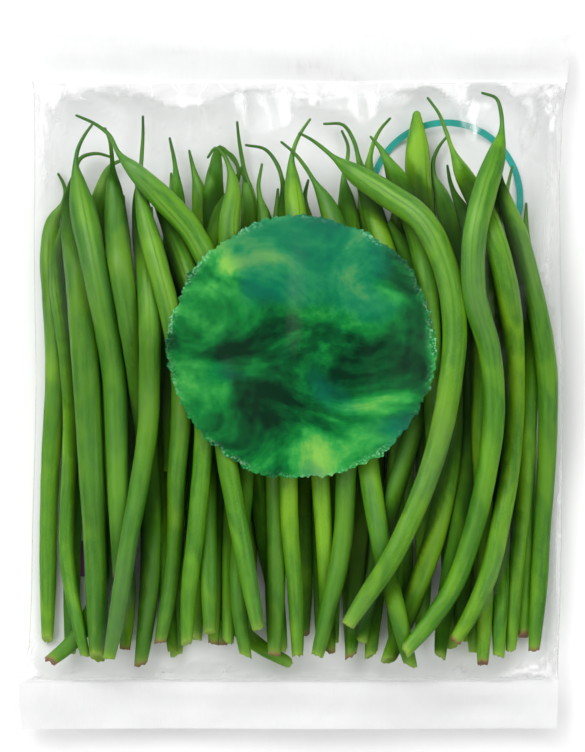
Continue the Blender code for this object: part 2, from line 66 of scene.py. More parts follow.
# The cut end's bevelled rim and shallow hollow: how far ahead, share of the radius, how freshly cut.
CUT_RINGS = [(0.10 * MM, 0.30, 1.0), (-0.05 * MM, 0.62, 1.0), (-0.16 * MM, 0.90, 0.85)]
# The rounded far end: how far ahead and how wide, both as shares of the last radius.
END_RINGS = [(0.45, 0.86), (0.80, 0.5)]
# Painted shade darkens the pods from this depth in the pile on, fully at this much deeper.
CREVICE_SHADE_START, CREVICE_SHADE_DEEP = 1.6 * MM, 8 * MM
FIELD_PITCH = 0.6 * MM  # of the grid that holds the pile's heights
FIELD_LOW = np.array([-86 * MM, -106 * MM])
FIELD_SIZE = (287, 354)

# The film.
FILM_PITCH, GRID_HALF = 1.2 * MM, 75 * MM
POD_COVER = 0.55 * MM  # from a pod's skin to the film over it
BACK_LIFT = 0.12 * MM
CREASE_END = 84.2 * MM  # creases stop here, by the seals
# The corners that creases and sharper shards fan out of, in millimetres. A shard's reach comes third.
FAN_CORNERS = [(76.8, 84.5), (-73.5, 85), (-77, -84), (74.3, -84)]
SHARD_CORNERS = [(74.4, -84.2, 22), (-77, -84.2, 16), (76.4, 84.2, 20), (-73.5, 84.2, 14)]
# How veiled the film is, from 0 to 1. The veil on folds, shards, crests and in the wavy bands by the seals
# is painted highlight.
FOLD_HAZE, SHARD_GLINT, CREST_SHEEN, BORDER_HIGHLIGHT = 0.50, 0.9, 0.05, 0.76
HEAD_HAZE, FOOT_HAZE = 0.24, 0.26

# The print on the film.
DISC_CENTRE, DISC_RADIUS, DISC_HOLE = (2.0 * MM, 9.4 * MM), 36.6 * MM, 0.2 * MM
DISC_TEAR, DISC_LIFT = 1.0 * MM, -0.10 * MM
RING_CENTRE, RING_INNER, RING_OUTER = (42.8 * MM, 51.9 * MM), 20.1 * MM, 21.9 * MM
PATCH_LEFT, PATCH_RIGHT, PATCH_FOOT, PATCH_HEAD = -60.9 * MM, -57.9 * MM, -55 * MM, -45 * MM
PATCH_COLUMNS, PATCH_ROWS = 4, 10  # of its points
BACK_PRINT_LIFT = 0.08 * MM

# The studio and the camera, which is straight above the middle of the picture.
FLOOR_Z, FLOOR_HALF = -0.3 * MM, 3.0
STUDIO_LIGHT = 2.12
LIGHT_LEAN = (-0.15, 0.47, 0)  # more light comes from there
# The light's brightness, from level with the floor at 0 to straight above at 1.
LIGHT_BAND = [(0.0, 0.03), (0.4, 0.08), (0.62, 0.45), (0.74, 0.95), (0.88, 0.95), (0.94, 0.04), (1.0, 0.01)]
CAMERA_PLACE = (-0.42 * MM, 1.54 * MM)
CAMERA_DISTANCE = 1.2  # from PLANE
PLANE = 10 * MM  # the height at which a pixel is PIXEL wide
PIXEL = 0.28 * MM
PICTURE_HEIGHT = 752
SENSOR = 24

SEED = 11


def smoothstep(t):
    t = np.clip(t, 0, 1)
    return t * t * (3 - 2 * t)


def noise_at(x, y, z=0.0):
    """Smooth noise at each point of arrays x and y, from about -1 to 1."""
    flat = [noise.noise(Vector((a, b, z))) for a, b in zip(np.ravel(x), np.ravel(y))]
    return 2 * np.array(flat).reshape(np.shape(x))


def curve_through(knots, step):
    """Evenly spaced rows on one smooth curve through the knots, and how far along it each knot is.

    The first three columns are a place, and the others go along with it.
    """
    chord = np.linalg.norm(np.diff(knots[:, :3], axis=0), axis=1)
    at = np.concatenate([[0.0], np.cumsum(chord)])
    slope = np.gradient(knots, at, axis=0)
    fine = np.linspace(0, at[-1], 800)
    i = np.clip(np.searchsorted(at, fine, side="right") - 1, 0, len(at) - 2)
    span = (at[i + 1] - at[i])[:, None]
    t = (fine - at[i])[:, None] / span
    curve = (
        (2 * t**3 - 3 * t**2 + 1) * knots[i]
        + (t**3 - 2 * t**2 + t) * span * slope[i]
        + (3 * t**2 - 2 * t**3) * knots[i + 1]
        + (t**3 - t**2) * span * slope[i + 1]
    )
    run = np.concatenate([[0.0], np.cumsum(np.linalg.norm(np.diff(curve[:, :3], axis=0), axis=1))])
    even = np.linspace(0, run[-1], max(2, round(run[-1] / step) + 1))
    rows = np.column_stack([np.interp(even, run, column) for column in curve.T])
    return rows, even, np.interp(at, fine, run)


def mesh_object(name, points, faces, materials):
    mesh = bpy.data.meshes.new(name)
    mesh.from_pydata([tuple(map(float, p)) for p in points], [], faces)
    for material in materials:
        mesh.materials.append(material)
    mesh.shade_smooth()
    obj = bpy.data.objects.new(name, mesh)
    bpy.context.scene.collection.objects.link(obj)
    return obj


def mark_points(mesh, name, rows):
    """Keeps up to three values for each of the mesh's first points. The rest stay 0."""
    rows = np.asarray(rows, np.float32)
    values = np.zeros((len(mesh.vertices), 3), np.float32)
    values[:rows.shape[0], :rows.shape[1]] = rows
    mesh.attributes.new(name, "FLOAT_VECTOR", "POINT").data.foreach_set("vector", values.ravel())


# Node materials.

class Tree:
    """The nodes of a material or a world, added one by one."""

    def __init__(self, owner):
        owner.use_nodes = True
        self.owner = owner
        self.nodes = owner.node_tree.nodes
        self.links = owner.node_tree.links
        self.nodes.clear()

    def add(self, kind, sockets=(), **settings):
        """A node. Each socket's value is a number, a colour or another node's output."""
        node = self.nodes.new("ShaderNode" + kind)
        for key, value in settings.items():
            setattr(node, key, value)
        for key, value in dict(sockets).items():
            if isinstance(value, bpy.types.NodeSocket):
                self.links.new(value, node.inputs[key])
            else:
                node.inputs[key].default_value = value
        return node

    def marks(self, name):
        """The three values that mark_points keeps under this name."""
        vector = self.add("Attribute", attribute_name=name).outputs["Vector"]
        return self.add("SeparateXYZ", {0: vector}).outputs

    def math(self, operation, a, b=0.0, c=0.0, clamp=False):
        return self.add("Math", {0: a, 1: b, 2: c}, operation=operation, use_clamp=clamp).outputs[0]

    def blend(self, a, b, share):
        """share of a and the rest of b, where share is a number."""
        return self.math("MULTIPLY_ADD", a, share, self.math("MULTIPLY", b, 1 - share))

    def band(self, value, low, high, out_low=0.0, out_high=1.0):
        """value from low to high, mapped smoothly."""
        node = self.add("MapRange", {0: value, 1: low, 2: high, 3: out_low, 4: out_high})
        node.interpolation_type = "SMOOTHSTEP"
        return node.outputs[0]

    def mix(self, share, a, b):
        """Two colours mixed."""
        return self.add("Mix", {0: share, 6: a, 7: b}, data_type="RGBA").outputs[2]

    def noise(self, vector, scale, detail=3.0, roughness=0.5, distortion=0.0):
        """Noise over the vector, made finer by scale, which has a number for each direction."""
        return self.add("TexNoise", {
            "Vector": self.stretch(vector, *scale), "Scale": 1.0, "Detail": detail,
            "Roughness": roughness, "Distortion": distortion}).outputs[0]

    def stretch(self, vector, x, y, z):
        return self.add("Mapping", {"Vector": vector, "Scale": (x, y, z)}).outputs[0]

    def ramp(self, value, stops):
        node = self.add("ValToRGB", {0: value})
        elements = node.color_ramp.elements
        while len(elements) < len(stops):
            elements.new(0.5)
        for element, (place, color) in zip(elements, stops):
            element.position = place
            element.color = (*color, 1)
        return node.outputs[0]

    def finish(self, shader):
        """Sends the shader to the output and gives the material."""
        self.add("OutputMaterial", {"Surface": shader})
        return self.owner


def pod_skin(name, lean):
    """The skin of the pods. lean is how yellow this green is."""
    t = Tree(bpy.data.materials.new(name))
    place = t.add("Attribute", attribute_name="pod_place").outputs["Vector"]
    tip, cut, painted_crevice_shade = t.marks("pod_marks_and_shade")
    by_seam, seam_strength = t.marks("pod_seam")[:2]
    tone_and_shade, brown = t.marks("pod_own_and_shade")[:2]
    streaks = t.noise(place, (0.975, 0.975, 0.0455), 3.0, 0.5)
    fine = t.noise(place, (4.8, 4.8, 1.8), 3.0, 0.6)
    patches = t.noise(place, (0.12, 0.12, 0.045), 2.0, 0.5, 0.6)
    mottle = t.noise(place, (0.55, 0.55, 0.22), 4.0, 0.6)
    deep = (0.046 + 0.012 * lean, 0.195 + 0.02 * lean, 0.007, 1)
    middle = (0.094 + 0.024 * lean, 0.310 + 0.02 * lean, 0.006, 1)
    lime = (0.195 + 0.03 * lean, 0.470, 0.009, 1)
    color = t.mix(t.band(t.blend(streaks, mottle, 0.6), 0.38, 0.62), deep, middle)
    color = t.mix(t.band(patches, 0.42, 0.70, 0.0, 0.85), color, lime)
    color = t.mix(t.band(fine, 0.52, 0.70, 0.0, 0.34), color, (0.22, 0.47, 0.022, 1))
    color = t.mix(t.band(fine, 0.30, 0.47, 0.32, 0.0), color, (0.026, 0.135, 0.006, 1))
    # Darker with each pod's own random tone, and with painted shade on the bag's left.
    color = t.mix(t.band(tone_and_shade, 0.0, 1.0, 0.0, 0.55), color, (0.022, 0.115, 0.008, 1))
    # The seam is a dark line in a pale border, and both waver.
    waver = t.math("MULTIPLY_ADD", t.math("SUBTRACT", fine, 0.5), 0.7, by_seam)
    border = t.math("MULTIPLY", t.band(waver, 0.10, 0.60, 0.0, 0.45), seam_strength)
    color = t.mix(border, color, (0.20, 0.45, 0.018, 1))
    line = t.math("MULTIPLY", t.band(waver, 0.80, 1.04, 0.0, 0.75), seam_strength)
    color = t.mix(line, color, (0.022, 0.10, 0.008, 1))
    # The tip is dark, the cut end pale and on some pods brown, and painted shade darkens what lies deep in
    # the pile.
    color = t.mix(t.band(tip, 0.3, 1.0, 0.0, 0.6), color, (0.022, 0.085, 0.012, 1))
    color = t.mix(t.band(cut, 0.0, 1.0, 0.0, 0.85), color, (0.34, 0.52, 0.06, 1))
    color = t.mix(t.math("MULTIPLY", t.band(cut, 0.22, 0.75), brown), color, (0.24, 0.12, 0.055, 1))
    color = t.mix(t.math("MULTIPLY", painted_crevice_shade, 0.84), color, (0.008, 0.034, 0.004, 1))
    rough = t.band(streaks, 0.3, 0.7, 0.48, 0.36)
    lumps = t.blend(fine, streaks, 0.4)
    bump = t.add("Bump", {"Strength": 0.3, "Distance": 0.25 * MM, "Height": lumps}).outputs[0]
    # The specular level falls with the painted crevice shade.
    shader = t.add("BsdfPrincipled", {
        "Base Color": color, "Roughness": rough, "Normal": bump,
        "Specular IOR Level": t.band(painted_crevice_shade, 0.0, 0.5, 0.32, 0.02)})
    return t.finish(shader.outputs[0])


def painted_crease_glints(t, place):
    """Fine bright lines in the film, along the borders of long bent cells: painted glints."""
    warp = t.add("TexNoise", {"Vector": place, "Scale": 70.0, "Detail": 2.0}).outputs["Color"]
    push = t.stretch(warp, 0.012, 0.012, 0.0)
    bent = t.add("VectorMath", {0: place, 1: push}, operation="ADD").outputs[0]
    long_cells = {"Vector": t.stretch(bent, 120, 55, 10), "Scale": 1.0}
    edges = t.add("TexVoronoi", long_cells, feature="DISTANCE_TO_EDGE").outputs["Distance"]
    return t.band(edges, 0.0, 0.05, 1.0, 0.0)


def film_shader(name, veil, veil_color, gloss, tint, lines):
    """Thin clear film, with a gloss that grows towards grazing and a pale veil along its creases. Out of
    the seals the veil is painted light: highlight, and grey shade where it is thin.

    veil and gloss each give the least and the most of it, and haze tells where there is how much.
    lines is how bright the fine lines in the veil are, which are painted glints.
    """
    t = Tree(bpy.data.materials.new(name))
    place = t.add("TexCoord").outputs["Object"]
    haze = t.marks("film_haze")[0]
    crease = t.noise(place, (420, 160, 300), 4.0, 0.6, 1.2)
    broad = t.noise(place, (110, 60, 90), 2.0, 0.5, 1.0)
    cloud = t.noise(place, (55, 34, 50), 4.0, 0.6, 1.0)
    height = t.math("MULTIPLY_ADD", crease, 0.25, broad)
    strength = t.band(haze, 0.0, 1.0, 0.10, 0.45)
    bump = t.add("Bump", {"Strength": strength, "Distance": 1.2 * MM, "Height": height}).outputs[0]
    facing = t.add("LayerWeight", {"Blend": 0.5, "Normal": bump}).outputs["Facing"]
    grazing = t.math("MULTIPLY", t.math("POWER", facing, 5.0), 0.9)
    share = t.math("ADD", grazing, t.band(haze, 0.0, 0.6, *gloss), clamp=True)
    clear = t.add("BsdfTransparent", {"Color": tint}).outputs[0]
    mirror = {"Color": (0.96, 0.97, 0.97, 1), "Roughness": 0.12, "Normal": bump}
    shine = t.add("BsdfGlossy", mirror).outputs[0]
    film = t.add("MixShader", {0: share, 1: clear, 2: shine}).outputs[0]
    # The veil is greyer in smudges of painted shade where it is thin, and patchy where it isn't full.
    shade_smudges = t.band(t.blend(crease, cloud, 0.45), 0.44, 0.58, 0.15, 1.0)
    grey = t.math("MULTIPLY", shade_smudges, t.band(haze, 0.30, 0.55, 1.0, 0.0))
    veil_tone = t.mix(grey, veil_color, (0.69, 0.695, 0.69, 1))
    veiling = t.add("BsdfDiffuse", {"Color": veil_tone, "Normal": bump}).outputs[0]
    patchy = t.band(cloud, 0.35, 0.7, 0.30, 1.0)
    closed = t.math("MULTIPLY_ADD", t.math("SUBTRACT", 1.0, patchy), haze, patchy)
    clouded = t.math("MULTIPLY", closed, haze)
    # Painted glints: fine bright lines where the film is hazy.
    bright = t.math("MULTIPLY", painted_crease_glints(t, place), t.band(haze, 0.20, 0.85, 0.0, lines))
    low, high = veil
    mask = t.math("ADD", t.math("MULTIPLY_ADD", clouded, high - low, low), bright, clamp=True)
    return t.finish(t.add("MixShader", {0: mask, 1: film, 2: veiling}).outputs[0])


def ink(name, stops):
    """Plain ink on the film, a little uneven."""
    t = Tree(bpy.data.materials.new(name))
    place = t.add("TexCoord").outputs["Object"]
    wash = t.noise(place, (200, 300, 200), 7.0, 0.66, 0.35)
    grain = t.noise(place, (1800, 1800, 1800), 4.0, 0.6)
    value = t.math("MULTIPLY_ADD", t.math("SUBTRACT", grain, 0.5), 0.28, wash)
    rough = t.band(grain, 0.3, 0.7, 0.30, 0.42)
    shader = t.add("BsdfPrincipled", {
        "Base Color": t.ramp(value, stops), "Roughness": rough, "Specular IOR Level": 0.12})
    return t.finish(shader.outputs[0])


def wash_ink(name, centre, reach):
    """Ink in a soft green wash: deeper towards the centre, with a dry and paler edge at reach."""
    t = Tree(bpy.data.materials.new(name))
    place = t.add("TexCoord").outputs["Object"]
    flat = t.stretch(place, 1, 1, 0)
    far = t.add("VectorMath", {0: flat, 1: (*centre, 0.0)}, operation="DISTANCE").outputs["Value"]
    wash = t.noise(place, (40, 54, 40), 5.0, 0.55, 0.7)
    grain = t.noise(place, (420, 420, 420), 4.0, 0.6)
    value = t.math("ADD", wash, t.band(far, 0.25 * reach, reach, -0.055, 0.065))
    value = t.math("MULTIPLY_ADD", t.math("SUBTRACT", grain, 0.5), 0.12, value)
    color = t.ramp(value, [
        (0.36, (0.001, 0.026, 0.009)), (0.45, (0.002, 0.085, 0.020)), (0.53, (0.005, 0.20, 0.033)),
        (0.61, (0.035, 0.34, 0.060)), (0.72, (0.22, 0.52, 0.08))])
    cool = t.noise(place, (27, 31, 27), 3.0, 0.5, 0.4)
    color = t.mix(t.band(cool, 0.50, 0.64, 0.0, 0.6), color, (0.003, 0.15, 0.10, 1))
    specks = t.noise(place, (1500, 1500, 1500), 2.0, 0.6)
    dry = t.math("MULTIPLY", t.band(far, 0.94 * reach, 1.02 * reach), t.band(specks, 0.48, 0.62))
    here = t.band(t.noise(place, (85, 85, 85), 2.0), 0.42, 0.62, 0.12, 0.9)
    color = t.mix(t.math("MULTIPLY", dry, here), color, (0.30, 0.60, 0.36, 1))
    rough = t.band(grain, 0.3, 0.7, 0.34, 0.46)
    shader = t.add("BsdfPrincipled", {"Base Color": color, "Roughness": rough, "Specular IOR Level": 0.06})
    return t.finish(shader.outputs[0])


def floor_finish():
    t = Tree(bpy.data.materials.new("studio_floor"))
    grain = t.noise(t.add("TexCoord").outputs["Object"], (60, 60, 60), 2.0)
    color = t.mix(grain, (0.93, 0.93, 0.93, 1), (0.95, 0.95, 0.95, 1))
    return t.finish(t.add("BsdfDiffuse", {"Color": color}).outputs[0])


# The pods.

def rings_of(node):
    """A solid's rings from the cut end on, as centres and radii.

    Their heights are stretched, so that the pod is round.
    """
    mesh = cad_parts[node].data
    places = np.empty(3 * len(mesh.vertices))
    mesh.vertices.foreach_get("co", places)
    grid = np.round(places.reshape(-1, 3) / 1e-6).astype(int)
    keys, index = np.unique(grid, axis=0, return_inverse=True)
    index = index.ravel()
    points = keys * 1e-6 / np.array([1, 1, FLATNESS])
    linked = [set() for _ in points]
    for face in mesh.polygons:
        corners = [int(index[v]) for v in face.vertices]
        for a, b in zip(corners, corners[1:] + corners[:1]):
            linked[a].add(b)
            linked[b].add(a)
    sides = 6 if node.endswith("under") else 8
    lowest = points[:, 1].argmin()
    ring = set(np.linalg.norm(points - points[lowest], axis=1).argsort()[:sides].tolist())
    seen, rings = set(), []
    while ring:
        seen |= ring
        rings.append(points[sorted(ring)])
        ring = set().union(*(linked[v] for v in ring)) - seen
    centres = np.array([r.mean(axis=0) for r in rings])
    radii = np.array([np.linalg.norm(r - c, axis=1).mean() for r, c in zip(rings, centres)])
    return centres, radii


class PodLine:
    """A pod's middle line and its radii, finer than the solid's. run is how far along each place is."""

    def __init__(self, node, draw):
        self.hidden = node.endswith("under")
        centres, radii = rings_of(node)
        body_rings = 7 if self.hidden else 12
        step = HIDDEN_STEP if self.hidden else POD_STEP
        rows, self.run, knots = curve_through(np.column_stack([centres, radii]), step)
        self.has_tail = len(centres) > body_rings
        self.body_end, self.length = knots[body_rings - 1], self.run[-1]
        self.middle, self.radius = rows[:, :3].copy(), rows[:, 3].copy()
        starts = smoothstep(self.run / (0.12 * self.body_end))
        self.body = starts * smoothstep((self.body_end - self.run) / (0.16 * self.body_end))
        self.swell(draw)
        self.waver(draw)

    def swell(self, draw):
        """Seeds swell the pod a little, one by one."""
        pitch = draw.uniform(8.5, 11.5) * MM
        swell = np.zeros_like(self.run)
        for seed in np.arange(draw.uniform(10, 18) * MM, self.body_end - 8 * MM, pitch):
            where = seed + draw.normal(0, 0.8) * MM
            swell += draw.uniform(0.3, 1.0) * np.exp(-(((self.run - where) / SEED_REACH) ** 2))
        fullness = 0.25 + 0.75 * smoothstep(self.run / self.body_end)
        self.radius += self.body * fullness * SEED_BUMP * swell

    def waver(self, draw):
        """The width and the middle line waver a little, and the stalk end is thinner."""
        wave = draw.uniform(0, 50)
        wider = noise_at(self.run / (22 * MM), np.full_like(self.run, wave))
        self.radius *= 1 + 0.02 * self.body * wider
        self.radius *= 1 - 0.16 * np.exp(-self.run / (5 * MM))
        aside = noise_at(self.run / (30 * MM), np.full_like(self.run, wave + 7))
        self.middle[:, 0] += 0.12 * MM * self.body * aside

    def directions(self):
        """At each place the direction along the line and the two square to it."""
        tangent = np.gradient(self.middle, axis=0)
        tangent /= np.linalg.norm(tangent, axis=1, keepdims=True)
        side = np.cross(tangent, (0, 0, 1))
        side /= np.linalg.norm(side, axis=1, keepdims=True)
        return tangent, side, np.cross(side, tangent)

    def rings(self):
        """Every ring from the cut face on: its place's number, how far ahead, share of the radius, cut."""
        last = len(self.run) - 1
        cut = [(0, ahead, share, fresh) for ahead, share, fresh in CUT_RINGS]
        body = [(k, 0.0, 1.0, None) for k in range(last + 1)]
        end = [(last, ahead * self.radius[-1], share, None) for ahead, share in END_RINGS]
        return cut + body + end

    def tip_share(self, along):
        """How much a place is tip. It grows over the end of the body and then along the tail."""
        share = 0.45 * smoothstep((along - self.body_end + 15 * MM) / (15 * MM))
        if self.has_tail:
            share += 0.55 * np.clip((along - self.body_end) / (self.length - self.body_end), 0, 1)
        return float(share)


def seam_groove(sides):
    """How far each side of a ring stands out for the seams, a groove at one edge and a ridge opposite."""
    groove = np.zeros(sides)
    groove[[0, 1, -1]] = (-0.12 * MM, 0.04 * MM, 0.04 * MM)
    half = sides // 2
    groove[[half, half + 1, half - 1]] = (0.06 * MM, 0.02 * MM, 0.02 * MM)
    return groove


def cut_share(along):
    """How pale a pod still is, this far from its cut end."""
    return 0.55 * math.exp(-along / (1.6 * MM)) + 0.12 * math.exp(-along / (7 * MM))


def pod_mesh(name, draw, materials):
    """A fine pod round the solid's own middle line. Gives its object and that line."""
    line = PodLine(name, draw)
    run, radius, middle = line.run, line.radius, line.middle
    tangent, side, up = line.directions()
    sides = HIDDEN_SIDES if line.hidden else POD_SIDES
    around = 2 * math.pi * np.arange(sides) / sides
    # The seam runs along one edge of the pod, turned a little its own way.
    start = draw.uniform(0.25, 2.9) if not line.hidden else 1.5
    twist = draw.uniform(-0.9, 0.9)
    groove = seam_groove(sides)
    by_seam = np.clip(1 - np.minimum(around, 2 * math.pi - around) / SEAM_REACH, 0, 1)
    seam = line.body * (0.14 + 0.86 * smoothstep((run / line.body_end - SEAM_START) / 0.35))
    deep = seam * smoothstep((line.length - run) / (3 * MM))
    shift = draw.uniform(0, 400)
    slant, slant_turn = draw.uniform(0.0, STEEPEST_CUT), draw.uniform(0, 2 * math.pi)
    chips = CUT_CHIPS * draw.normal(0, 1, sides)
    points, place, marks, seams = [], [], [], []
    rings = line.rings()
    for k, ahead, share, fresh in rings:
        turn = start + twist * run[k] / line.body_end + around
        r = radius[k] * share
        if fresh is None:
            r = r + groove * deep[k]
        centre = middle[k] + tangent[k] * ahead
        ring = centre + np.outer(r * np.cos(turn), side[k]) + np.outer(r * np.sin(turn), up[k])
        tilt = r * slant * np.cos(around - slant_turn) + chips * share**4
        ring += np.outer(tilt * math.exp(-run[k] / (1.6 * MM)), tangent[k])
        ring[:, 2] *= FLATNESS
        points += list(ring)
        along = run[k] + ahead
        length = np.full(sides, along / MM + shift)
        place += list(np.column_stack([r * np.cos(around) / MM, r * np.sin(around) / MM, length]))
        marks += [(line.tip_share(along), cut_share(along) if fresh is None else fresh)] * sides
        seams += [(near, seam[k]) for near in by_seam]
    count = len(rings)
    faces = [
        (k * sides + j, k * sides + (j + 1) % sides, (k + 1) * sides + (j + 1) % sides, (k + 1) * sides + j)
        for k in range(count - 1) for j in range(sides)
    ]
    # A point in the middle closes each end.
    for ring, k, ahead, mark in ((0, 0, 0.16 * MM, (0.0, 1.0)), (count - 1, -1, radius[-1], (0.0, 0.0))):
        hub = len(points)
        points.append((middle[k] + tangent[k] * ahead) * np.array([1, 1, FLATNESS]))
        place.append((0, 0, run[k] / MM + shift))
        marks.append(mark)
        seams.append((0.0, 0.0))
        for j in range(sides):
            a, b = ring * sides + j, ring * sides + (j + 1) % sides
            faces.append((hub, b, a) if ring == 0 else (hub, a, b))
    obj = mesh_object(name.replace("bean", "pod"), points, faces, materials)
    mark_points(obj.data, "pod_place", place)
    mark_points(obj.data, "pod_marks_and_shade", marks)
    mark_points(obj.data, "pod_seam", seams)
    # The pods on the bag's left get painted shade, added to each pod's own random tone.
    darker = float(smoothstep((-28 * MM - middle[:, 0].mean()) / (20 * MM)))
    tone_and_shade = 0.8 * draw.uniform(0, 1) + 0.4 * darker
    brown = float(draw.uniform(0, 1) < 0.3)
    mark_points(obj.data, "pod_own_and_shade", [(tone_and_shade, brown)] * len(points))
    return obj, line


# The pile of pods, as heights on an even grid.

def pile_field(pods, side, cover=0.0):
    """The pile's top on an even grid, for side 1. For side -1 its underside, with its sign turned."""
    field = np.full(FIELD_SIZE, min(side, 0) * 1.0)
    for line in pods:
        for (px, py, pz), r in zip(line.middle, line.radius):
            reach = r + cover
            i, j = ((np.array([px, py]) - reach - FIELD_LOW) / FIELD_PITCH).astype(int)
            n = int(2 * reach / FIELD_PITCH) + 3
            gx = FIELD_LOW[0] + np.arange(i, i + n) * FIELD_PITCH - px
            gy = FIELD_LOW[1] + np.arange(j, j + n) * FIELD_PITCH - py
            off = 1 - (gx[:, None] ** 2 + gy[None, :] ** 2) / reach**2
            rise = (FLATNESS * r + cover) * np.sqrt(np.maximum(off, 0))
            window = field[i:i + n, j:j + n]
            window[...] = np.where(off > 0, np.maximum(window, side * FLATNESS * pz + rise), window)
    return field


def around_each(field, cells, combine):
    """The largest value or the mean of each place's neighbours in a field."""
    for axis in (0, 1):
        field = combine([np.roll(field, shift, axis) for shift in range(-cells, cells + 1)], axis=0)
    return field


def field_at(field, x, y):
    i = np.clip(((x - FIELD_LOW[0]) / FIELD_PITCH).round().astype(int), 0, FIELD_SIZE[0] - 1)
    j = np.clip(((y - FIELD_LOW[1]) / FIELD_PITCH).round().astype(int), 0, FIELD_SIZE[1] - 1)
    return field[i, j]


def paint_crevice_shade(objects, pods):
    """Tells the skin how deep in the pile each point is, for painted shade that darkens what lies deep."""
    sides = []
    for side in (1, -1):
        field = around_each(pile_field(pods, side), 5, np.max)
        sides.append((side, around_each(field, 3, np.mean)))
    for obj in objects:
        mesh = obj.data
        points = np.empty(3 * len(mesh.vertices))
        mesh.vertices.foreach_get("co", points)
        x, y, z = points.reshape(-1, 3).T
        deep = np.min([field_at(field, x, y) - side * z for side, field in sides], axis=0)
        attribute = mesh.attributes["pod_marks_and_shade"]
        marks = np.empty(3 * len(mesh.vertices), np.float32)
        attribute.data.foreach_get("vector", marks)
        # The third value is painted crevice shade.
        marks[2::3] = smoothstep((deep - CREVICE_SHADE_START) / CREVICE_SHADE_DEEP)
        attribute.data.foreach_set("vector", marks)


# The film.

def fold_x(fold, y):
    rows = np.array(sorted((py, px) for px, py in fold)) * MM
    return np.interp(y, rows[:, 0], rows[:, 1])


def by_seal(y, sign, reach):
    """1 in a seal and 0 farther in from it than reach. sign is 1 at the head and -1 at the foot."""
    return smoothstep(1 - (BAG_HEAD - SEAL_DEPTH - sign * y) / reach)


def edge_heights(x, y):
    """The height of the seals and folds."""
    wave = SEAL_WAVE * np.sin(2 * math.pi * x / SEAL_WAVELENGTH + SEAL_PHASE)
    fold = FOLD_Z + (HEAD_SEAL_Z + wave - FOLD_Z) * by_seal(y, 1, HEAD_RAMP)
    return fold + (FOOT_SEAL_Z + wave - fold) * by_seal(y, -1, 2 * FOOT_RAMP)


def back_heights(x, y):
    """The height of the back film: on the table, but for the folds and the two ends."""
    inward = np.minimum(x - fold_x(LEFT_FOLD, y), fold_x(RIGHT_FOLD, y) - x)
    by_fold = 1 - np.sqrt(1 - np.clip(1 - inward / FOLD_ROUND, 0, 1) ** 2)
    ends = np.maximum(by_seal(y, 1, HEAD_RAMP), by_seal(y, -1, FOOT_RAMP))
    return edge_heights(x, y) * np.maximum(by_fold, ends)


def spread(near, pitch, start, end):
    """Places from start to end: as near says close to each end, and then about pitch apart."""
    near = np.array(near) * MM
    count = round((end - start - 2 * near[-1]) / pitch)
    middle = np.linspace(start + near[-1], end - near[-1], count + 1)
    return np.concatenate([start + near[:-1], middle, (end - near[:-1])[::-1]])


def film_grid():
    """x and y of the film's grid, which is finer in the seals and by the folds."""
    y = spread([0, 0.4, 1.4, 3, 5, 7, 9, 11, 12.6, 13.5, 14.1, 14.9], FILM_PITCH, BAG_FOOT, BAG_HEAD)
    across = spread([0, 0.3, 0.7, 1.2, 1.9, 2.7, 3.6, 4.6], FILM_PITCH, -GRID_HALF, GRID_HALF)
    share = (across + GRID_HALF) / (2 * GRID_HALF)
    left, right = fold_x(LEFT_FOLD, y)[:, None], fold_x(RIGHT_FOLD, y)[:, None]
    return left + share[None, :] * (right - left), np.repeat(y[:, None], len(share), axis=1)


def stretch_over(tops, border, edge, x, y, rounds):
    """A taut film over the tops, held at its border."""
    west, east = x[1:-1, 1:-1] - x[1:-1, :-2], x[1:-1, 2:] - x[1:-1, 1:-1]
    south, north = y[1:-1, 1:-1] - y[:-2, 1:-1], y[2:, 1:-1] - y[1:-1, 1:-1]
    weights = [1 / (west * (west + east)), 1 / (east * (west + east)),
               1 / (south * (south + north)), 1 / (north * (south + north))]
    total = sum(weights)
    height = np.where(border, edge, np.maximum(edge, tops))
    for _ in range(rounds):
        mean = height.copy()
        mean[1:-1, 1:-1] = (weights[0] * height[1:-1, :-2] + weights[1] * height[1:-1, 2:]
                            + weights[2] * height[:-2, 1:-1] + weights[3] * height[2:, 1:-1]) / total
        height = np.where(border, edge, np.maximum(mean, tops))
    return height


def eased(height, border, rounds):
    """The film with its sharp bends eased, as film has some stiffness."""
    height = height.copy()
    for _ in range(rounds):
        mean = height.copy()
        mean[1:-1, 1:-1] = (height[1:-1, :-2] + height[1:-1, 2:] + height[:-2, 1:-1] + height[2:, 1:-1]) / 4
        height = np.where(border, height, (height + mean) / 2)
    return height


def from_corner(x, y, corner_x, corner_y):
    """How far each point is from a corner, and in which direction from it."""
    dx, dy = x - corner_x * MM, y - corner_y * MM
    return np.hypot(dx, dy), np.arctan2(dy, dx)


def ridge(a, b, seed, sharp=1.7):
    """1 along winding lines and 0 between them, which are narrower where sharp is larger."""
    return np.clip(1 - sharp * np.abs(noise_at(a, b, seed)), 0, 1)


